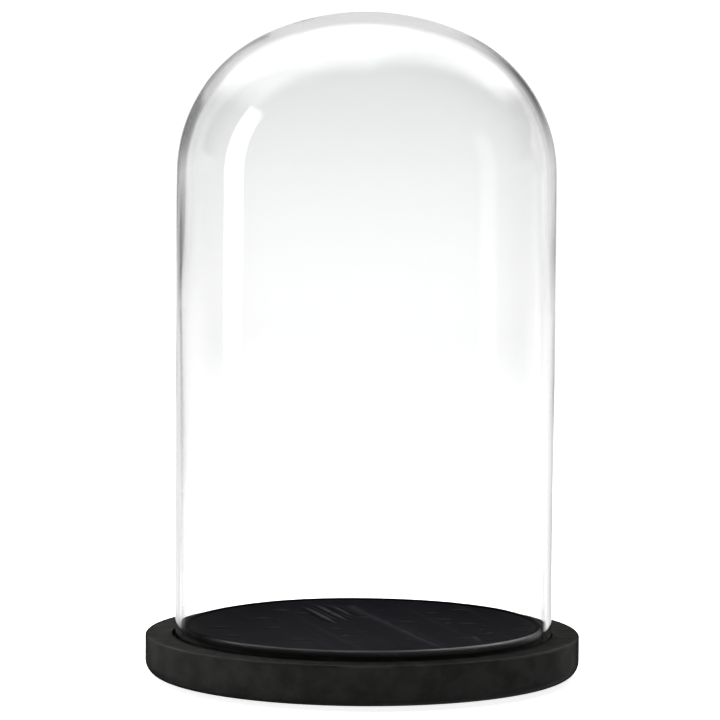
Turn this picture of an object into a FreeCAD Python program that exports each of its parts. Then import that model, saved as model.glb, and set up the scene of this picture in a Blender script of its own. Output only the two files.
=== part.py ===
import FreeCAD, Part
import math
import os

# A bell jar display dome: a clear glass bell standing in the groove of a turned wooden base.
# Units are millimetres. +Z runs up the dome's axis, and the origin is on that axis,
# in the plane of the felt pads' undersides, which is the surface the base stands on.

# Turned wooden base
BASE_DIAMETER = 203.0
LEDGE_THICKNESS = 18.7  # board thickness under the outer ledge
PLATEAU_STEP = 4.1  # height of the display plateau above the ledge
PLATEAU_DIAMETER = 169.4
GROOVE_DIAMETER = 177.8  # outer wall of the groove
GROOVE_DEPTH = 4.0  # below the ledge
FOOT_ROUND = 6.5  # radius of the base's lower outer edge
LEDGE_ROUND = 1.2  # radius of the ledge's upper outer edge
PLATEAU_ROUND = 2.2  # radius of the plateau's edge
GROOVE_LIP_ROUND = 0.6  # radius of the groove's outer lip

# Blown glass dome
DOME_DIAMETER = 176.0
DOME_HEIGHT = 293.0  # rim to crown, outside
CROWN_RISE = 75.0  # from the top of the straight wall to the crown, outside
WALL = 2.1  # at the rim and over most of the height
SHOULDER_THICKNESS = 4.4  # at the top of the straight wall
TAPER_HEIGHT = 70.0  # how far below the shoulder the wall starts to thicken
CROWN_THICKNESS = 5.0  # the glass is thickest at the top, where the bubble is closed
OUTER_SHOULDER_RADIUS = 71.3  # the arc that turns the wall inwards
INNER_SHOULDER_RADIUS = 65.8

# Felt pads under the base
PAD_COUNT = 4
PAD_DIAMETER = 20.0
PAD_THICKNESS = 1.5
PAD_CIRCLE_DIAMETER = 156.0
FIRST_PAD_ANGLE = 45.0  # degrees from +X

# Heights and radii that follow from the dimensions above
BOARD_BOTTOM = PAD_THICKNESS
LEDGE_TOP = BOARD_BOTTOM + LEDGE_THICKNESS
PLATEAU_TOP = LEDGE_TOP + PLATEAU_STEP
GROOVE_FLOOR = LEDGE_TOP - GROOVE_DEPTH
BASE_RADIUS = BASE_DIAMETER / 2
PLATEAU_RADIUS = PLATEAU_DIAMETER / 2
GROOVE_RADIUS = GROOVE_DIAMETER / 2
DOME_RADIUS = DOME_DIAMETER / 2
RIM_BOTTOM = GROOVE_FLOOR  # the dome's rim rests on the floor of the groove
DOME_TOP = RIM_BOTTOM + DOME_HEIGHT
WALL_TOP = DOME_TOP - CROWN_RISE

Z_AXIS = FreeCAD.Vector(0, 0, 1)
ON_AXIS = FreeCAD.Vector(0, 0, 0)


def point(radius, height):
    """A point of a profile, in the half-plane y = 0."""
    return FreeCAD.Vector(radius, 0, height)


def line(start, end):
    """A straight profile edge between two (radius, height) points."""
    return Part.LineSegment(point(*start), point(*end)).toShape()


def on_circle(centre, radius, angle):
    """The (radius, height) point of a circle at an angle in degrees, measured from +X towards +Z."""
    turn = math.radians(angle)
    return centre[0] + radius * math.cos(turn), centre[1] + radius * math.sin(turn)


def arc(centre, radius, start_angle, end_angle):
    """A circular profile edge, its angles in degrees from +X towards +Z."""
    angles = (start_angle, (start_angle + end_angle) / 2, end_angle)
    return Part.Arc(*[point(*on_circle(centre, radius, angle)) for angle in angles]).toShape()


def revolved(edges):
    """The solid swept by a closed profile, given as its edges, once round the Z axis."""
    profile = Part.Face(Part.Wire(Part.__sortEdges__(edges)))
    return profile.revolve(ON_AXIS, Z_AXIS, 360)


def base_board():
    """The turned board: rounded foot, flat ledge, groove for the dome's rim, raised plateau."""
    foot_centre = (BASE_RADIUS - FOOT_ROUND, BOARD_BOTTOM + FOOT_ROUND)
    ledge_centre = (BASE_RADIUS - LEDGE_ROUND, LEDGE_TOP - LEDGE_ROUND)
    lip_centre = (GROOVE_RADIUS + GROOVE_LIP_ROUND, LEDGE_TOP - GROOVE_LIP_ROUND)
    plateau_centre = (PLATEAU_RADIUS - PLATEAU_ROUND, PLATEAU_TOP - PLATEAU_ROUND)
    return revolved(
        [
            line((0, BOARD_BOTTOM), (foot_centre[0], BOARD_BOTTOM)),
            arc(foot_centre, FOOT_ROUND, -90, 0),
            line((BASE_RADIUS, foot_centre[1]), (BASE_RADIUS, ledge_centre[1])),
            arc(ledge_centre, LEDGE_ROUND, 0, 90),
            line((ledge_centre[0], LEDGE_TOP), (lip_centre[0], LEDGE_TOP)),
            arc(lip_centre, GROOVE_LIP_ROUND, 90, 180),
            line((GROOVE_RADIUS, lip_centre[1]), (GROOVE_RADIUS, GROOVE_FLOOR)),
            line((GROOVE_RADIUS, GROOVE_FLOOR), (PLATEAU_RADIUS, GROOVE_FLOOR)),
            line((PLATEAU_RADIUS, GROOVE_FLOOR), (PLATEAU_RADIUS, plateau_centre[1])),
            arc(plateau_centre, PLATEAU_ROUND, 0, 90),
            line((plateau_centre[0], PLATEAU_TOP), (0, PLATEAU_TOP)),
            line((0, PLATEAU_TOP), (0, BOARD_BOTTOM)),
        ]
    )


def crown_arcs(wall_radius, crown_rise, shoulder_radius):
    """The arcs that close the bell over the straight wall: a shoulder, and a flatter crown tangent to it.

    The shoulder's centre is level with the top of the wall. Tangent arcs have centres as far apart as
    their radii differ, which settles the crown's radius for a given rise.
    """
    shoulder_x = wall_radius - shoulder_radius
    flatness = 2 * (crown_rise - shoulder_radius)
    crown_radius = (crown_rise**2 + wall_radius**2 - 2 * wall_radius * shoulder_radius) / flatness
    crown_centre = (0, WALL_TOP + crown_rise - crown_radius)
    shoulder_centre = (shoulder_x, WALL_TOP)
    junction = math.degrees(math.atan2(crown_radius - crown_rise, shoulder_x))
    return [
        arc(shoulder_centre, shoulder_radius, 0, junction),
        arc(crown_centre, crown_radius, junction, 90),
    ]


def thickening_arcs(low_radius, high_radius):
    """Two tangent arcs that bring the inner wall inwards, upright at both ends, up to the shoulder."""
    step = (low_radius - high_radius) / 2
    half_height = TAPER_HEIGHT / 2
    radius = (half_height**2 + step**2) / (2 * step)
    turn = math.degrees(math.asin(half_height / radius))
    return [
        arc((low_radius - radius, WALL_TOP - TAPER_HEIGHT), radius, 0, turn),
        arc((high_radius + radius, WALL_TOP), radius, 180, 180 + turn),
    ]


def glass_dome():
    """The bell: a fire-rounded rim, a straight wall that thickens near its top, and a thick closed crown."""
    inner_radius = DOME_RADIUS - WALL
    shoulder_start = DOME_RADIUS - SHOULDER_THICKNESS
    inner_rise = CROWN_RISE - CROWN_THICKNESS
    rim_centre = (DOME_RADIUS - WALL / 2, RIM_BOTTOM + WALL / 2)
    return revolved(
        [
            arc(rim_centre, WALL / 2, -180, 0),
            line((DOME_RADIUS, rim_centre[1]), (DOME_RADIUS, WALL_TOP)),
            *crown_arcs(DOME_RADIUS, CROWN_RISE, OUTER_SHOULDER_RADIUS),
            line((0, DOME_TOP), (0, DOME_TOP - CROWN_THICKNESS)),
            *reversed(crown_arcs(shoulder_start, inner_rise, INNER_SHOULDER_RADIUS)),
            *thickening_arcs(inner_radius, shoulder_start),
            line((inner_radius, WALL_TOP - TAPER_HEIGHT), (inner_radius, rim_centre[1])),
        ]
    )


def felt_pad(index):
    """One round adhesive felt pad; the pads are spaced evenly round a circle under the board."""
    turn = math.radians(FIRST_PAD_ANGLE + index * 360 / PAD_COUNT)
    circle_radius = PAD_CIRCLE_DIAMETER / 2
    centre = FreeCAD.Vector(circle_radius * math.cos(turn), circle_radius * math.sin(turn), 0)
    return Part.makeCylinder(PAD_DIAMETER / 2, PAD_THICKNESS, centre, Z_AXIS)


nodes = {
    "base_board": base_board(),
    "glass_dome": glass_dome(),
}
for pad_index in range(PAD_COUNT):
    nodes[f"felt_pad_{pad_index + 1}"] = felt_pad(pad_index)

os.makedirs("parts", exist_ok=True)
for name, shape in nodes.items():
    shape.exportStep(f"parts/{name}.step")
    print(name, "valid" if shape.isValid() else "INVALID", round(shape.Volume), "mm3")
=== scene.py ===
import math
import random

import bpy
from mathutils import Matrix, Vector, noise


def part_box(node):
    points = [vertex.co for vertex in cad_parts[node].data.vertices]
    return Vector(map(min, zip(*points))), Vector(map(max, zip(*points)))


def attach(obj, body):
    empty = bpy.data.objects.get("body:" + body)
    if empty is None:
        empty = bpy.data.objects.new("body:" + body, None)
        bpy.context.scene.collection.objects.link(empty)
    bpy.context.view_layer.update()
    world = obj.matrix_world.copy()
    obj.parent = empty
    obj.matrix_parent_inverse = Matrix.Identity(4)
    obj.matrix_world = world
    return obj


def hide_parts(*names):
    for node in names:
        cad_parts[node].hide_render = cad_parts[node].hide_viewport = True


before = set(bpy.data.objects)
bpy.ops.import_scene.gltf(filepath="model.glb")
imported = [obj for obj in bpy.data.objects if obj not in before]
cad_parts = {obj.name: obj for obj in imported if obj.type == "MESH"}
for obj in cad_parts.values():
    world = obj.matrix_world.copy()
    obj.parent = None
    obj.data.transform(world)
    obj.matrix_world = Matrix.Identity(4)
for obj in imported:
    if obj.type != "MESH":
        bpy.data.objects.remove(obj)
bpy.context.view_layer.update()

# Lengths are metres and angles are degrees, in the row frame: +Z up the dome's axis, -Y the front.
MM = 0.001
UPWARDS = Vector((0, 0, 1))

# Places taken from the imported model
BASE_LOW, BASE_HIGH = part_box("base_board")
DOME_LOW, DOME_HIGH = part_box("glass_dome")
PADS = sorted(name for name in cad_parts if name.startswith("felt_pad_"))

# Turned base
BASE_RADIUS = 101.5 * MM
BOARD_BOTTOM = BASE_LOW.z
PLATEAU_TOP = BASE_HIGH.z
LEDGE_TOP = PLATEAU_TOP - 4.1 * MM
GROOVE_FLOOR = DOME_LOW.z
GROOVE_RADIUS = 88.9 * MM
PLATEAU_RADIUS = 84.7 * MM
FOOT_ROUND = 6.5 * MM
LEDGE_ROUND = 1.2 * MM
LIP_ROUND = 0.6 * MM
PLATEAU_ROUND = 2.2 * MM
CORNER_ROUND = 0.4 * MM
BASE_SEGMENTS = 480
PLATEAU_STEPS = 116
TURNING_WAVER = 0.06 * MM
MARK_ROOM = 0.26  # mm that the plateau is lowered by, so that its raised marks stay inside the board
SHADE_BAND_WIDTH = 4.0 * MM  # of the plateau's near-black band of painted shade at its sides
SHADE_BAND_SHIFT = 3.4 * MM  # added to the painted shade band's width at the back, and taken from it in front
SHADE_BAND_SOFT = 0.8 * MM
RUBBED_RIM = 1.6 * MM  # width of the plateau's rounded rim that is rubbed smooth

# Glass bell
DOME_RADIUS = 88.0 * MM
DOME_TOP = DOME_HIGH.z
WALL = 2.1 * MM
SHOULDER_THICKNESS = 4.4 * MM
TAPER_HEIGHT = 70.0 * MM
CROWN_RISE = 75.0 * MM
CROWN_THICKNESS = 5.0 * MM
OUTER_SHOULDER = 71.3 * MM
INNER_SHOULDER = 65.8 * MM
WALL_TOP = DOME_TOP - CROWN_RISE
DOME_SEGMENTS = 384
CALM_HEIGHT = 60.0 * MM  # the glass wavers fully this far above its rim, and not at all at the rim
SEAT_SHIFT = Vector((0.5, 0, 0)) * MM  # the loose bell stands this far off the axis in its groove
BULGE = 0.6 * MM  # how far the blown wall swells out on its right side, above its lower third
BULGE_LOW, BULGE_HIGH = 75.0 * MM, 165.0 * MM
OUTER_WAVER = 0.05 * MM
INNER_WAVER = 0.16 * MM
GREY_LOW, GREY_HIGH = 175.0 * MM, 300.0 * MM  # heights between which the thicker glass turns greyer

# Marks in the plateau's finish, in mm on the plateau: +X right, +Y back
GRAIN_ANGLE = 106.9  # the direction that the grain and the longest marks run in, from +X
RIDGE_STARTS = ((-27.8, 53.3), (-22.5, 62.0), (-15.8, 62.3))
RIDGE_LENGTHS = (55.0, 55.0, 39.0)
VEIN_BACK = Vector((-6.5, 64.4))
VEIN_FRONT = Vector((36.6, -71.8))
KNOT_CENTRE = Vector((58.0, -24.0))
MARK_SEED = 11
STREAK_COUNT = 26
STREAK_REACH = 74.0  # how far from the axis the streaks are scattered
PIT_COUNT = 16

# Felt pads
PAD_SEGMENTS = 96
PAD_EDGE = 0.35 * MM
PAD_FUZZ = 0.12 * MM
PAD_LUMPS = 0.04 * MM

# Studio floor and light
FLOOR_RADIUS = 1.0
FLOOR_RINGS = 20
FLOOR_SEGMENTS = 96
FLOOR_HEIGHT = -0.2 * MM
FLOOR_GLOW = 0.88
FADE_START, FADE_END = 0.45, 0.95  # distances from the axis between which the floor fades out
LIGHT_SIZE = (1.8, 1.4)
LIGHT_WATTS = 42.0
LIGHT_PLACE = (-0.25, 0.25, 1.7)

# Camera
CAMERA_DISTANCE = 1.5
CAMERA_HEIGHT = 0.2486
CAMERA_SIDE = -0.0018
CAMERA_DOWN = 3.85
CAMERA_ROLL = 0.35
CAMERA_LENS = 161.3


# ---------------------------------------------------------------- mesh helpers


def arc_points(centre, radius, start, end, steps):
    """Points of a circular profile arc, with angles in degrees from the outward radius towards +Z."""
    points = []
    for i in range(steps + 1):
        turn = math.radians(start + (end - start) * i / steps)
        points.append((centre[0] + radius * math.cos(turn), centre[1] + radius * math.sin(turn)))
    return points


def straight_points(start, end, steps):
    """Points along a straight profile edge, without its two ends."""
    points = []
    for i in range(1, steps):
        share = i / steps
        points.append((start[0] + (end[0] - start[0]) * share, start[1] + (end[1] - start[1]) * share))
    return points


def lathe(name, profile, segments, shape=None):
    """A mesh turned about Z from a profile that starts on the axis.

    shape(point, profile_index) may return a moved copy of each surface point.
    """
    vertices = []
    rings = []
    for index, (radius, height) in enumerate(profile):
        ring = []
        count = 1 if radius < 1e-9 else segments
        for k in range(count):
            turn = 2 * math.pi * k / segments
            place = Vector((radius * math.cos(turn), radius * math.sin(turn), height))
            if shape:
                place = shape(place, index)
            ring.append(len(vertices))
            vertices.append(place)
        rings.append(ring)
    faces = []
    for lower, upper in zip(rings, rings[1:]):
        for k in range(segments):
            after = (k + 1) % segments
            if len(lower) == 1:
                faces.append((lower[0], upper[after], upper[k]))
            elif len(upper) == 1:
                faces.append((lower[k], lower[after], upper[0]))
            else:
                faces.append((lower[k], lower[after], upper[after], upper[k]))
    mesh = bpy.data.meshes.new(name)
    mesh.from_pydata([tuple(v) for v in vertices], [], faces)
    mesh.validate()
    mesh.update()
    for polygon in mesh.polygons:
        polygon.use_smooth = True
    piece = bpy.data.objects.new(name, mesh)
    bpy.context.scene.collection.objects.link(piece)
    return piece


def waver(place, scale, seed):
    """Smooth noise from -1 to 1 over space, the same each run."""
    return noise.noise(place * scale + Vector((seed, seed * 0.37, -seed)))


# ---------------------------------------------------------------- node helpers


class Tree:
    """Short calls for building one node tree."""

    def __init__(self, owner):
        owner.use_nodes = True
        self.nodes = owner.node_tree.nodes
        self.links = owner.node_tree.links
        self.nodes.clear()

    def add(self, kind, inputs=None, **settings):
        """A node of that kind, with its settings, and its inputs set to values or linked to sockets."""
        node = self.nodes.new(kind)
        for key, value in settings.items():
            setattr(node, key, value)
        for key, value in (inputs or {}).items():
            if isinstance(value, bpy.types.NodeSocket):
                self.links.new(value, node.inputs[key])
            else:
                node.inputs[key].default_value = value
        return node

    def math(self, operation, first, second=0.0, clamp=False):
        """One or two numbers put through an operation."""
        node = self.add(
            "ShaderNodeMath", {0: first, 1: second}, operation=operation, use_clamp=clamp
        )
        return node.outputs[0]

    def product(self, first, *others):
        """Several numbers multiplied together."""
        for other in others:
            first = self.math("MULTIPLY", first, other)
        return first

    def less(self, value):
        """What is left of one when a value is taken from it."""
        return self.math("SUBTRACT", 1.0, value)

    def length(self, first, second):
        """The length of a level arrow with those two parts."""
        squares = [self.product(part, part) for part in (first, second)]
        return self.math("SQRT", self.math("ADD", *squares))

    def smooth(self, value, low, high, start=0.0, end=1.0):
        """start below low, end above high, and a smooth step between."""
        node = self.add(
            "ShaderNodeMapRange",
            {"Value": value, "From Min": low, "From Max": high, "To Min": start, "To Max": end},
            interpolation_type="SMOOTHSTEP",
        )
        return node.outputs["Result"]

    def window(self, value, low, high, low_soft, high_soft):
        """One between low and high and none outside, with soft edges of those widths."""
        into = self.smooth(value, low - low_soft / 2, low + low_soft / 2)
        out = self.smooth(value, high - high_soft / 2, high + high_soft / 2, 1.0, 0.0)
        return self.product(into, out)

    def dip(self, value, down, up, before, inside, after):
        """before, then inside from the end of down to the start of up, then after, all smooth."""
        falling = self.smooth(value, down[0], down[1], before, inside)
        return self.math("ADD", falling, self.smooth(value, up[0], up[1], 0.0, after - inside))

    def noise(self, vector, scale, detail=2.0, roughness=0.5, distortion=0.0):
        node = self.add(
            "ShaderNodeTexNoise",
            {
                "Vector": vector,
                "Scale": scale,
                "Detail": detail,
                "Roughness": roughness,
                "Distortion": distortion,
            },
        )
        return node.outputs["Fac"]

    def blend(self, factor, first, second):
        """Two colours mixed by a factor."""
        node = self.add("ShaderNodeMix", {0: factor, 6: first, 7: second}, data_type="RGBA")
        return node.outputs[2]

    def mix(self, factor, first, second):
        """Two numbers mixed by a factor."""
        node = self.add("ShaderNodeMix", {0: factor, 2: first, 3: second}, data_type="FLOAT")
        return node.outputs[0]

    def stretch(self, vector, scale, turn=0.0):
        """The vector turned about Z by an angle in degrees, then scaled along each axis."""
        turned = self.add(
            "ShaderNodeVectorRotate",
            {"Vector": vector, "Angle": math.radians(turn)},
            rotation_type="Z_AXIS",
        )
        return self.add(
            "ShaderNodeVectorMath",
            {0: turned.outputs[0], 1: scale},
            operation="MULTIPLY",
        ).outputs[0]


def rgb(red, green, blue):
    return (red, green, blue, 1.0)


# ---------------------------------------------------------------- materials


def glass_material():
    """Clear soda-lime glass, greyer towards the top, where the wall is thicker."""
    material = bpy.data.materials.new("clear_blown_glass")
    tree = Tree(material)
    coords = tree.add("ShaderNodeTexCoord").outputs["Object"]
    ripple = tree.noise(tree.stretch(coords, (1.0, 1.0, 0.35)), 34.0, 1.0)
    bump = tree.add("ShaderNodeBump", {"Strength": 0.25, "Distance": 0.25 * MM, "Height": ripple})
    height = tree.add("ShaderNodeSeparateXYZ", {0: coords}).outputs[2]
    thick = tree.smooth(height, GREY_LOW, GREY_HIGH)
    tint = tree.blend(thick, rgb(0.993, 0.995, 0.995), rgb(0.880, 0.883, 0.884))
    glass = tree.add(
        "ShaderNodeBsdfPrincipled",
        {
            "Base Color": tint,
            "Roughness": 0.0,
            "IOR": 1.5,
            "Transmission Weight": 1.0,
            "Normal": bump.outputs[0],
        },
    )
    tree.add("ShaderNodeOutputMaterial", {"Surface": glass.outputs[0]})
    return material


class Wood:
    """Places and patterns on the base that the parts of its material share, as sockets."""

    def __init__(self, tree):
        coords = tree.add("ShaderNodeTexCoord").outputs["Object"]
        self.x, self.y, self.z = tree.add("ShaderNodeSeparateXYZ", {0: coords}).outputs
        self.radius = tree.length(self.x, self.y)
        along_grain = tree.stretch(coords, (7.0, 190.0, 190.0), -GRAIN_ANGLE)
        along_pores = tree.stretch(coords, (60.0, 1500.0, 1500.0), -GRAIN_ANGLE)
        self.streaks = tree.noise(along_grain, 1.0, 4.0, 0.6)
        self.pores = tree.noise(along_pores, 1.0, 2.0, 0.5)
        self.clouds = tree.noise(coords, 34.0, 3.0, 0.6)
        self.mottle = tree.noise(coords, 95.0, 3.0, 0.6)
        self.on_plateau = tree.product(
            tree.smooth(self.z, LEDGE_TOP + 0.5 * MM, LEDGE_TOP + 2.0 * MM),
            tree.math("LESS_THAN", self.radius, PLATEAU_RADIUS + 1.0 * MM),
        )
        # A band of painted shade round the plateau's edge, moved forwards so that it is widest at the
        # back
        reach = tree.length(self.x, tree.math("ADD", self.y, SHADE_BAND_SHIFT))
        inner_edge = PLATEAU_RADIUS - SHADE_BAND_WIDTH
        self.painted_shade_band = tree.smooth(reach, inner_edge - SHADE_BAND_SOFT / 2, inner_edge + SHADE_BAND_SOFT / 2)


def wood_tone(tree, wood):
    """The stain: neutral on the side and ledge, violet on the plateau, and worn along the edges, with
    painted shade round the plateau's edge, in the ridges' grooves and along the foot, and painted
    highlights on the ridge crests and, in part, along the ledge's outer edge.
    """
    mottled = tree.smooth(wood.mottle, 0.3, 0.7)
    side = tree.blend(mottled, rgb(0.0165, 0.0165, 0.0155), rgb(0.0265, 0.0265, 0.0255))
    cloudy = tree.smooth(wood.clouds, 0.35, 0.65)
    top = tree.blend(cloudy, rgb(0.0118, 0.0110, 0.0165), rgb(0.0172, 0.0163, 0.0225))
    streaked = tree.smooth(wood.streaks, 0.52, 0.70, 0.0, 0.35)
    top = tree.blend(streaked, top, rgb(0.029, 0.028, 0.036))
    # Painted shade: a near-black band round the plateau's edge, widest at the back and narrowest in
    # front
    top = tree.blend(wood.painted_shade_band, top, rgb(0.0004, 0.0004, 0.0006))
    tone = tree.blend(wood.on_plateau, side, top)

    # Marks: lighter where the finish attribute is above zero and darker where it is below. In the vein,
    # streaks and pits this is the wood's own colour, bare or filled with stain; on the ridges it is a
    # painted highlight along each crest and painted shade in the grooves beside it
    finish = tree.add("ShaderNodeAttribute", attribute_name="finish").outputs["Fac"]
    tone = tree.blend(tree.math("MAXIMUM", finish, 0.0), tone, rgb(0.106, 0.113, 0.136))
    filled = tree.math("MULTIPLY", finish, -1.0, clamp=True)
    tone = tree.blend(filled, tone, rgb(0.002, 0.002, 0.003))

    # The ledge's outer edge is darker, with lighter patches along it that are partly rubbed wear and
    # partly a painted highlight, and the foot is darkest, a painted shade along its bottom
    edge = tree.product(
        tree.smooth(wood.z, LEDGE_TOP - 1.4 * MM, LEDGE_TOP - 0.4 * MM),
        tree.smooth(wood.radius, BASE_RADIUS - 2.0 * MM, BASE_RADIUS - 0.8 * MM),
    )
    tone = tree.blend(tree.product(edge, 0.55), tone, rgb(0.005, 0.005, 0.005))
    # Lighter patches along the edge: partly rubbed wear, partly a painted highlight
    rubbed_and_highlight = tree.product(edge, tree.smooth(wood.clouds, 0.46, 0.66, 0.0, 0.35))
    tone = tree.blend(rubbed_and_highlight, tone, rgb(0.060, 0.059, 0.057))
    # Painted shade: the lowest 3 mm of the foot is darkened
    foot = tree.smooth(wood.z, BOARD_BOTTOM, BOARD_BOTTOM + 3.0 * MM, 0.7, 0.0)
    return tree.blend(foot, tone, rgb(0.004, 0.004, 0.004))


def wood_shine(tree, wood):
    """Specular level and roughness: the front of the plateau's rim shines, and most so on the right.

    The flat faces are nearly matt, and lose the rest of their shine at a low angle.
    """
    swung = tree.math("SUBTRACT", wood.y, tree.product(wood.x, 0.3))
    in_front = tree.smooth(swung, -52.0 * MM, -20.0 * MM, 1.0, 0.0)
    middle = PLATEAU_RADIUS - RUBBED_RIM
    on_rim = tree.smooth(wood.radius, middle - 0.3 * MM, middle + 0.3 * MM)
    rim = tree.product(on_rim, wood.on_plateau, in_front)
    gloss = tree.smooth(wood.x, -30.0 * MM, 85.0 * MM, 0.35, 1.7)
    flat = tree.smooth(wood.radius, GROOVE_RADIUS, GROOVE_RADIUS + 1.0 * MM, 0.2, 0.08)
    flat = tree.product(flat, tree.less(tree.product(wood.painted_shade_band, wood.on_plateau)))
    facing = tree.add("ShaderNodeLayerWeight", {"Blend": 0.5}).outputs["Facing"]
    matt = tree.smooth(facing, 0.66, 0.86, 1.0, 0.0)
    level = tree.product(tree.math("MAXIMUM", flat, tree.product(rim, gloss)), matt)
    roughness = tree.smooth(wood.clouds, 0.25, 0.75, 0.50, 0.62)
    return level, tree.math("SUBTRACT", roughness, tree.product(rim, 0.14))


def wood_material():
    """Black-stained, close-grained wood in a matt finish that still shines on its rounded edges."""
    material = bpy.data.materials.new("black_stained_wood")
    tree = Tree(material)
    wood = Wood(tree)
    grain = tree.math("ADD", tree.product(wood.streaks, 0.6), tree.product(wood.pores, 0.4))
    bump = tree.add("ShaderNodeBump", {"Strength": 0.35, "Distance": 0.12 * MM, "Height": grain})
    level, roughness = wood_shine(tree, wood)
    surface = tree.add(
        "ShaderNodeBsdfPrincipled",
        {
            "Base Color": wood_tone(tree, wood),
            "Roughness": roughness,
            "Specular IOR Level": level,
            "Normal": bump.outputs[0],
        },
    )
    tree.add("ShaderNodeOutputMaterial", {"Surface": surface.outputs[0]})
    return material


def felt_material():
    """Pressed charcoal felt: a fibrous surface with a soft sheen."""
    material = bpy.data.materials.new("charcoal_felt")
    tree = Tree(material)
    coords = tree.add("ShaderNodeTexCoord").outputs["Object"]
    fibres = tree.noise(coords, 2600.0, 4.0, 0.7, 2.0)
    clumps = tree.noise(coords, 420.0, 2.0)
    tone = tree.blend(tree.smooth(fibres, 0.3, 0.7), rgb(0.012, 0.012, 0.013), rgb(0.045, 0.045, 0.047))
    tone = tree.blend(tree.smooth(clumps, 0.35, 0.65, 0.0, 0.4), tone, rgb(0.03, 0.03, 0.031))
    bump = tree.add("ShaderNodeBump", {"Strength": 0.8, "Distance": 0.2 * MM, "Height": fibres})
    felt = tree.add(
        "ShaderNodeBsdfPrincipled",
        {
            "Base Color": tone,
            "Roughness": 0.95,
            "Specular IOR Level": 0.1,
            "Sheen Weight": 0.5,
            "Sheen Roughness": 0.5,
            "Normal": bump.outputs[0],
        },
    )
    tree.add("ShaderNodeOutputMaterial", {"Surface": felt.outputs[0]})
    return material


# ---------------------------------------------------------------- pieces


def closing_arcs(wall_radius, rise, shoulder_radius):
    """Profile points of one face of the closed top, from the top of the wall to the axis."""
    shoulder_x = wall_radius - shoulder_radius
    crown_radius = (rise**2 + wall_radius**2 - 2 * wall_radius * shoulder_radius) / (
        2 * (rise - shoulder_radius)
    )
    junction = math.degrees(math.atan2(crown_radius - rise, shoulder_x))
    shoulder = arc_points((shoulder_x, WALL_TOP), shoulder_radius, 0, junction, 40)
    crown = arc_points((0, WALL_TOP + rise - crown_radius), crown_radius, junction, 90, 20)
    crown[-1] = (0.0, WALL_TOP + rise)
    return shoulder + crown[1:]


def inner_wall(foot, steps):
    """Profile points up the inside of the wall, which closes in smoothly as the glass thickens."""
    points = []
    for i in range(1, steps):
        height = foot + (WALL_TOP - foot) * i / steps
        share = max(0.0, 1.0 - (WALL_TOP - height) / TAPER_HEIGHT)
        ease = 2 * share**2 if share < 0.5 else 1 - 2 * (1 - share) ** 2
        points.append((DOME_RADIUS - WALL - (SHOULDER_THICKNESS - WALL) * ease, height))
    return points


def build_dome(material):
    rim_centre = (DOME_RADIUS - WALL / 2, DOME_LOW.z + WALL / 2)
    outer = straight_points((DOME_RADIUS, rim_centre[1]), (DOME_RADIUS, WALL_TOP), 60)
    outer += closing_arcs(DOME_RADIUS, CROWN_RISE, OUTER_SHOULDER)
    inner = inner_wall(rim_centre[1], 60)
    inner += closing_arcs(
        DOME_RADIUS - SHOULDER_THICKNESS, CROWN_RISE - CROWN_THICKNESS, INNER_SHOULDER
    )
    rim = arc_points(rim_centre, WALL / 2, -180, 0, 16)
    profile = list(reversed(inner)) + rim + outer
    inner_count = len(inner)
    rim_end = inner_count + len(rim)

    def uneven(place, index):
        """Blown glass: both faces waver and swell a little, more so away from the rim."""
        across = Vector((place.x, place.y, 0))
        out = across.normalized() if across.length > 1e-9 else Vector((0, 0, 0))
        calm = min(1.0, max(0.0, (place.z - rim_centre[1]) / CALM_HEIGHT))
        swell = 0.0
        if index < inner_count:
            swell = waver(place, 22.0, 3.1) * INNER_WAVER
        elif index >= rim_end:
            swell = (waver(place, 18.0, 8.6) - 1.0) * OUTER_WAVER
        share = min(1.0, max(0.0, (place.z - BULGE_LOW) / (BULGE_HIGH - BULGE_LOW)))
        side = max(0.0, place.x / DOME_RADIUS) ** 2
        bulge = Vector((BULGE * side * share**2 * (3 - 2 * share), 0, 0))
        return place + out * swell * calm + bulge + SEAT_SHIFT

    dome = lathe("glass_bell", profile, DOME_SEGMENTS, uneven)
    dome.data.materials.append(material)
    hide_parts("glass_dome")
    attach(dome, "dome")


def bell_curve(distance, width):
    return math.exp(-((distance / width) ** 2))


def along_and_across(place, start, angle):
    """How far a place is along a line from start at an angle in degrees, and how far to its right."""
    turn = math.radians(angle)
    along = Vector((math.cos(turn), math.sin(turn)))
    offset = place - start
    return offset.dot(along), offset.x * along.y - offset.y * along.x


def line_strength(along, length, fade):
    """One along a mark of that length, falling to nothing at its two ends."""
    return max(0.0, min(1.0, along / fade, (length - along) / fade))


def scattered_marks():
    """Short streaks all over the plateau and pits in a knot: (place, angle, length, width, tone)."""
    chance = random.Random(MARK_SEED)
    marks = []
    for _ in range(STREAK_COUNT):
        turn = chance.uniform(0, 2 * math.pi)
        reach = STREAK_REACH * math.sqrt(chance.random())
        place = Vector((math.cos(turn), math.sin(turn))) * reach
        tone = chance.choice((-0.7, -0.5, 0.09, 0.13))
        angle = chance.uniform(-14, 22)
        marks.append((place, angle, chance.uniform(4, 13), chance.uniform(0.6, 1.3), tone))
    for _ in range(PIT_COUNT):
        place = KNOT_CENTRE + Vector((chance.gauss(0, 6.0), chance.gauss(0, 13.0)))
        tone = chance.choice((-0.9, -0.8, 0.2))
        marks.append((place, chance.uniform(-60, 20), chance.uniform(1.5, 6), 0.8, tone))
    marks.append((KNOT_CENTRE + Vector((-8.0, -6.0)), -82.0, 22.0, 1.0, 0.3))
    return marks


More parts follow.
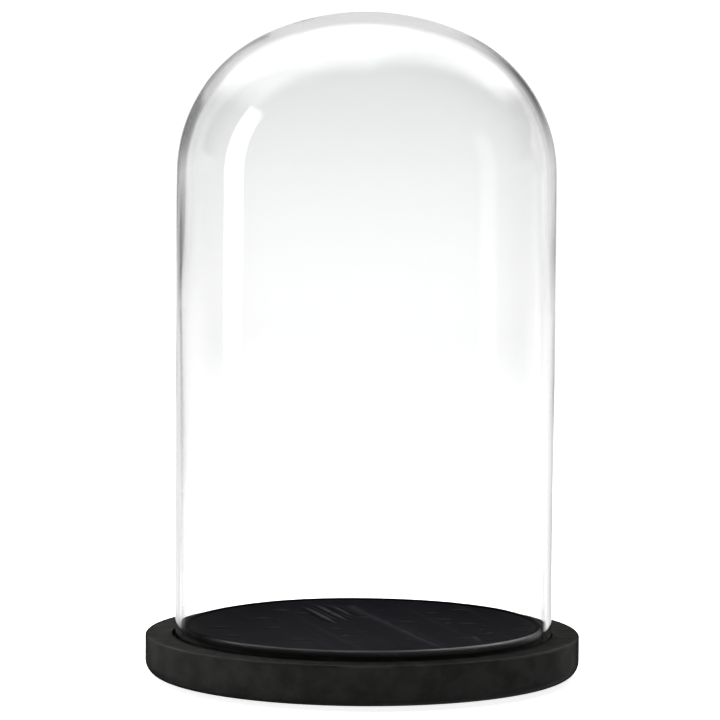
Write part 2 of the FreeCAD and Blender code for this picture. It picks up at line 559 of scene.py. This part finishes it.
def ridge_relief_and_painted_light(place):
    """Height in mm and tone of the raised ridges and the grooves beside them; the tone is a painted
    highlight along each crest and painted shade in the grooves.
    """
    height = 0.0
    tone = 0.0
    for start, length in zip(RIDGE_STARTS, RIDGE_LENGTHS):
        along, across = along_and_across(place, Vector(start), GRAIN_ANGLE - 180)
        strength = line_strength(along, length, 14.0)
        if strength > 0 and abs(across) < 5:
            crest = bell_curve(across, 0.8)
            groove = bell_curve(across - 2.3, 1.1) + 0.7 * bell_curve(across + 2.0, 0.9)
            height += strength * (0.22 * crest - 0.12 * groove)
            # Painted light in the tone: lighter on the crest as a highlight, darker in the grooves as
            # shade
            tone += strength * (0.42 * crest - 0.8 * groove)
    return height, tone


def vein_finish(place):
    """Height in mm and tone of the long pale vein, which bends a little and thins towards the front."""
    vein = VEIN_FRONT - VEIN_BACK
    angle = math.degrees(math.atan2(vein.y, vein.x))
    along, across = along_and_across(place, VEIN_BACK, angle)
    strength = line_strength(along, vein.length, 9.0)
    if strength <= 0 or abs(across) >= 14:
        return 0.0, 0.0
    share = along / vein.length
    bend = 1.6 * math.sin(math.pi * share) + 0.7 * math.sin(9.0 * share)
    patch = 0.75 + 0.5 * noise.noise(Vector((along * 0.09, across * 0.25, 2.0)))
    core = bell_curve(across - bend, 2.9 - 1.9 * share)
    halo = bell_curve(across - bend, 7.0 - 3.0 * share)
    return strength * 0.06 * core, strength * patch * (0.20 * core + 0.10 * halo)


def mark_finish(place, mark):
    """Height in mm and tone of one short streak or pit."""
    start, angle, length, width, mark_tone = mark
    if abs(place.x - start.x) > 16 or abs(place.y - start.y) > 24:
        return 0.0, 0.0
    along, across = along_and_across(place, start, angle)
    shape = line_strength(along, length, 0.4 * length) * bell_curve(across, width)
    return 0.08 * shape * (1 if mark_tone > 0 else -1), mark_tone * shape


def plateau_finish(place, marks):
    """Height in mm and tone of all the marks in the plateau's finish at a place in mm, with the ridges'
    painted highlight and shade in the tone.
    """
    found = [ridge_relief_and_painted_light(place), vein_finish(place)]
    found += [mark_finish(place, mark) for mark in marks]
    return sum(height for height, tone in found), sum(tone for height, tone in found)


def build_base(material):
    foot = (BASE_RADIUS - FOOT_ROUND, BOARD_BOTTOM + FOOT_ROUND)
    ledge = (BASE_RADIUS - LEDGE_ROUND, LEDGE_TOP - LEDGE_ROUND)
    lip = (GROOVE_RADIUS + LIP_ROUND, LEDGE_TOP - LIP_ROUND)
    outer_corner = (GROOVE_RADIUS - CORNER_ROUND, GROOVE_FLOOR + CORNER_ROUND)
    inner_corner = (PLATEAU_RADIUS + CORNER_ROUND, GROOVE_FLOOR + CORNER_ROUND)
    crest = (PLATEAU_RADIUS - PLATEAU_ROUND, PLATEAU_TOP - PLATEAU_ROUND)
    profile = [(0.0, BOARD_BOTTOM)]
    profile += straight_points((0.0, BOARD_BOTTOM), (foot[0], BOARD_BOTTOM), 12)
    profile += arc_points(foot, FOOT_ROUND, -90, 0, 14)
    profile += straight_points((BASE_RADIUS, foot[1]), (BASE_RADIUS, ledge[1]), 6)
    profile += arc_points(ledge, LEDGE_ROUND, 0, 90, 8)
    profile += straight_points((ledge[0], LEDGE_TOP), (lip[0], LEDGE_TOP), 5)
    profile += arc_points(lip, LIP_ROUND, 90, 180, 6)
    profile += arc_points(outer_corner, CORNER_ROUND, 0, -90, 4)
    profile += arc_points(inner_corner, CORNER_ROUND, -90, -180, 4)
    profile += arc_points(crest, PLATEAU_ROUND, 0, 90, 12)
    plateau_start = len(profile) - 1
    profile += straight_points((crest[0], PLATEAU_TOP), (0.0, PLATEAU_TOP), PLATEAU_STEPS)
    profile += [(0.0, PLATEAU_TOP)]
    marks = scattered_marks()
    tones = []

    def hand_finished(place, index):
        """Faint waver in the turning, and the marks on the plateau, inside the board's own size."""
        tone = 0.0
        across = Vector((place.x, place.y, 0))
        if index > plateau_start:
            height, tone = plateau_finish(Vector((place.x, place.y)) / MM, marks)
            place = place + UPWARDS * min(0.0, height - MARK_ROOM) * MM
        elif across.length > 1e-9:
            inward = (waver(place, 30.0, 5.2) - 1.0) * TURNING_WAVER
            place = place + across.normalized() * inward
        tones.append(tone)
        return place

    base = lathe("turned_base", profile, BASE_SEGMENTS, hand_finished)
    finish = base.data.attributes.new("finish", "FLOAT", "POINT")
    finish.data.foreach_set("value", tones)
    base.data.materials.append(material)
    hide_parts("base_board")
    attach(base, "base")


def build_pads(material):
    """Felt discs with soft cut edges and a slightly lumpy face."""
    for name in PADS:
        low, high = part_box(name)
        centre = Vector(((low.x + high.x) / 2, (low.y + high.y) / 2, 0))
        radius = (high.x - low.x) / 2
        profile = [(0.0, low.z)]
        profile += straight_points((0.0, low.z), (radius - PAD_EDGE, low.z), 14)
        profile += arc_points((radius - PAD_EDGE, low.z + PAD_EDGE), PAD_EDGE, -90, 0, 5)
        profile += arc_points((radius - PAD_EDGE, high.z - PAD_EDGE), PAD_EDGE, 0, 90, 5)
        profile += straight_points((radius - PAD_EDGE, high.z), (0.0, high.z), 6)
        profile += [(0.0, high.z)]

        def lumpy(place, index, centre=centre, low=low, radius=radius):
            moved = place + centre
            fuzz = waver(moved, 900.0, 1.7)
            across = Vector((place.x, place.y, 0))
            if across.length > 0.9 * radius:
                moved = moved + across.normalized() * (fuzz - 1.0) * PAD_FUZZ
            if place.z < low.z + 0.1 * MM:
                moved = moved + UPWARDS * (fuzz + 1.0) * PAD_LUMPS
            return moved

        pad = lathe(name + "_felt", profile, PAD_SEGMENTS, lumpy)
        pad.data.materials.append(material)
        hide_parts(name)
        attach(pad, "base")


# ---------------------------------------------------------------- studio


def build_floor():
    """A pale round sheet under the object that fades into the pale surroundings."""
    profile = [(FLOOR_RADIUS * i / FLOOR_RINGS, FLOOR_HEIGHT) for i in range(FLOOR_RINGS + 1)]
    floor = lathe("studio_floor", profile, FLOOR_SEGMENTS)
    material = bpy.data.materials.new("pale_floor")
    tree = Tree(material)
    coords = tree.add("ShaderNodeTexCoord").outputs["Object"]
    distance = tree.add("ShaderNodeVectorMath", {0: coords}, operation="LENGTH").outputs["Value"]
    path = tree.add("ShaderNodeLightPath")
    mirrored = tree.math("GREATER_THAN", path.outputs["Glossy Depth"], 0.5)
    bounced = tree.math("GREATER_THAN", path.outputs["Diffuse Depth"], 0.5)
    gone = tree.math("MAXIMUM", tree.smooth(distance, FADE_START, FADE_END), mirrored)
    glow = tree.product(FLOOR_GLOW, tree.less(bounced))
    paper = tree.add(
        "ShaderNodeBsdfPrincipled",
        {
            "Base Color": rgb(0.93, 0.93, 0.93),
            "Roughness": 0.9,
            "Specular IOR Level": 0.1,
            "Emission Color": rgb(1.0, 1.0, 1.0),
            "Emission Strength": glow,
        },
    )
    clear = tree.add("ShaderNodeBsdfTransparent")
    surface = tree.add("ShaderNodeMixShader", {0: gone, 1: paper.outputs[0], 2: clear.outputs[0]})
    tree.add("ShaderNodeOutputMaterial", {"Surface": surface.outputs[0]})
    floor.data.materials.append(material)


class Sky:
    """The direction of a ray that leaves the object, as sockets, with angles in degrees."""

    def __init__(self, tree):
        direction = tree.add("ShaderNodeTexCoord").outputs["Generated"]
        self.x, self.y, self.z = tree.add("ShaderNodeSeparateXYZ", {0: direction}).outputs
        self.on_left = tree.math("LESS_THAN", self.x, 0.0)
        # Turn is round the upright axis from the back, and positive to the right
        self.turn = tree.math("DEGREES", tree.math("ARCTAN2", self.x, self.y))
        self.off_back = tree.math("ABSOLUTE", self.turn)
        self.rise = tree.math("DEGREES", tree.math("ARCSINE", self.z))
        # Off top is round the line to the back, from straight up, to either side
        clock = tree.math("DEGREES", tree.math("ARCTAN2", self.x, self.z))
        self.off_top = tree.math("ABSOLUTE", clock)
        self.from_back = tree.math("DEGREES", tree.math("ARCCOSINE", self.y))


def table_light(tree, sky):
    """The table below the horizon, which only the edges of the glass gather.

    Each side of it darkens outwards and forwards: the left past a dark card, the right past a grey line.
    """
    off_back = sky.off_back
    rise = sky.rise
    slanted = tree.math("ADD", off_back, rise)
    dim = tree.product(tree.smooth(off_back, 2.0, 22.0), tree.smooth(rise, -7.0, 0.0, 0.07, 0.4))
    card = tree.product(tree.window(slanted, 24.0, 30.0, 4.0, 5.0), 0.7)
    past_card = tree.product(
        tree.smooth(slanted, 26.0, 33.0), tree.smooth(rise, -8.0, -2.8, 1.0, 0.0)
    )
    low = tree.product(
        tree.smooth(off_back, 5.0, 12.0), tree.smooth(rise, -8.75, -8.4, 0.95, 0.0)
    )
    left = tree.product(*[tree.less(part) for part in (dim, card, past_card, low)])
    line = tree.product(
        tree.window(off_back, 14.0, 21.0, 8.0, 12.0), tree.smooth(rise, -6.0, -3.0, 0.28, 0.45)
    )
    past_line = tree.product(
        tree.smooth(off_back, 30.0, 38.0), tree.smooth(rise, -8.0, -6.0, 1.0, 0.0)
    )
    high = tree.product(
        tree.smooth(off_back, 14.0, 22.0), tree.smooth(rise, -1.5, 0.0, 0.0, 0.35)
    )
    right = tree.product(*[tree.less(part) for part in (line, past_line, high)])
    return tree.product(
        tree.mix(sky.on_left, right, left),
        tree.smooth(off_back, 48.0, 74.0, 1.0, 0.06),
        tree.smooth(rise, -0.5, 5.0, 1.0, 0.0),
    )


def sweep_light(tree, sky):
    """The upper sweep, which only the edges of the glass gather.

    It is bright round the top, darkest behind the shoulders, and grey level with the wall, with a
    darker gap between its middle and its sides.
    """
    off_top = sky.off_top
    from_back = sky.from_back
    top = tree.mix(sky.on_left, 0.85, tree.smooth(off_top, 38.0, 52.0, 0.85, 0.68))
    shoulder = tree.mix(
        sky.on_left,
        tree.dip(from_back, (6.0, 18.0), (22.0, 30.0), 1.0, 0.05, 0.65),
        tree.dip(from_back, (8.0, 24.0), (27.0, 38.0), 1.1, 0.19, 0.61),
    )
    wall = tree.mix(
        sky.on_left,
        tree.dip(from_back, (6.0, 20.0), (22.0, 32.0), 1.35, 0.68, 0.82),
        tree.dip(from_back, (8.0, 24.0), (27.0, 36.0), 1.3, 0.5, 0.74),
    )
    to_shoulder = tree.mix(
        sky.on_left, tree.smooth(off_top, 18.0, 54.0), tree.smooth(off_top, 57.0, 63.0)
    )
    to_wall = tree.mix(
        sky.on_left, tree.smooth(off_top, 56.0, 88.0), tree.smooth(off_top, 74.0, 92.0)
    )
    return tree.product(
        tree.mix(to_wall, tree.mix(to_shoulder, top, shoulder), wall),
        tree.smooth(from_back, 38.0, 76.0, 1.0, 0.08),
        tree.smooth(sky.rise, -2.2, -0.4),
    )


def overhead_light(tree, sky):
    """The soft box overhead, laid out on a level plane above the object."""
    up = tree.math("MAXIMUM", sky.z, 0.01)
    across = tree.math("DIVIDE", sky.x, up)
    along = tree.math("DIVIDE", sky.y, up)
    slant = tree.product(tree.math("MAXIMUM", across, 0.0), 0.5)
    return tree.product(
        tree.smooth(tree.math("SUBTRACT", along, slant), -0.12, 0.14),
        tree.window(across, -1.2, 1.3, 1.0, 0.8),
        tree.smooth(sky.from_back, 34.0, 46.0, 0.0, 2.0),
        tree.smooth(sky.rise, 2.0, 8.0),
    )


def upright_strip(tree, sky, turns, soft, tops, level):
    """A strip between two turns that fades out upwards between two heights, all in degrees."""
    upwards = tree.smooth(sky.rise, tops[0], tops[1], level, 0.0)
    return tree.product(tree.window(sky.turn, turns[0], turns[1], soft, soft), upwards)


def strip_light(tree, sky, path):
    """The upright strips at the sides, seen only in the near wall of the glass."""
    left = upright_strip(tree, sky, (-99.0, -85.3), 1.0, (34.0, 38.0), 4.2)
    right = upright_strip(tree, sky, (95.3, 107.5), 1.5, (20.0, 29.0), 0.62)
    far_right = upright_strip(tree, sky, (53.0, 57.0), 2.5, (10.0, 20.0), 0.2)
    near_wall = tree.math("LESS_THAN", path["Transmission Depth"], 2.5)
    all_strips = tree.math("ADD", left, tree.math("ADD", right, far_right))
    return tree.product(all_strips, near_wall, tree.smooth(sky.rise, -7.0, -4.5))


def build_world():
    """White surroundings, and a dim studio of soft boxes that only reflections and bounced light see."""
    world = bpy.data.worlds.new("studio")
    bpy.context.scene.world = world
    tree = Tree(world)
    sky = Sky(tree)
    path = tree.add("ShaderNodeLightPath").outputs

    # White all round, and brighter where it comes forward under the object
    white = tree.smooth(sky.rise, -8.5, -3.2, 2.2, 1.17)

    middle = tree.smooth(sky.from_back, 5.0, 15.0, 1.0, 0.0)
    room = tree.product(
        tree.smooth(sky.rise, 20.0, 52.0, 0.12, 0.03), tree.smooth(sky.rise, -6.0, 0.0, 0.4, 1.0)
    )
    studio = table_light(tree, sky)
    for part in (middle, sweep_light(tree, sky), room):
        studio = tree.math("MAXIMUM", studio, part)
    for part in (overhead_light(tree, sky), strip_light(tree, sky, path)):
        studio = tree.math("ADD", studio, part)

    straight_through = tree.product(
        tree.math("LESS_THAN", path["Glossy Depth"], 0.5),
        tree.math("LESS_THAN", path["Diffuse Depth"], 0.5),
        path["Is Transmission Ray"],
    )
    seen = tree.math("MAXIMUM", path["Is Camera Ray"], straight_through)
    level = tree.mix(seen, studio, white)
    background = tree.add("ShaderNodeBackground", {"Color": rgb(1.0, 1.0, 1.0), "Strength": level})
    tree.add("ShaderNodeOutputWorld", {"Surface": background.outputs[0]})


def build_lights():
    """One large soft light overhead, slightly behind the object, that has no mirror image of its own."""
    data = bpy.data.lights.new("overhead_softbox", "AREA")
    data.shape = "RECTANGLE"
    data.size, data.size_y = LIGHT_SIZE
    data.energy = LIGHT_WATTS
    light = bpy.data.objects.new("overhead_softbox", data)
    light.location = LIGHT_PLACE
    light.visible_camera = False
    light.visible_glossy = False
    light.visible_transmission = False
    bpy.context.scene.collection.objects.link(light)


def build_camera():
    data = bpy.data.cameras.new("camera")
    data.lens = CAMERA_LENS
    data.sensor_width = 36.0
    data.clip_start = 0.01
    data.clip_end = 100.0
    camera = bpy.data.objects.new("camera", data)
    down = math.radians(CAMERA_DOWN)
    roll = math.radians(CAMERA_ROLL)
    forward = Vector((0, math.cos(down), -math.sin(down)))
    level_up = Vector((0, math.sin(down), math.cos(down)))
    level_right = Vector((1, 0, 0))
    right = level_right * math.cos(roll) + level_up * math.sin(roll)
    up = level_up * math.cos(roll) - level_right * math.sin(roll)
    turn = Matrix((right, up, -forward)).transposed().to_4x4()
    camera.matrix_world = Matrix.Translation((CAMERA_SIDE, -CAMERA_DISTANCE, CAMERA_HEIGHT)) @ turn
    bpy.context.scene.collection.objects.link(camera)
    bpy.context.scene.camera = camera


build_dome(glass_material())
build_base(wood_material())
build_pads(felt_material())
build_floor()
build_world()
build_lights()
build_camera()
bpy.context.scene.view_settings.view_transform = "Standard"

bpy.context.view_layer.update()
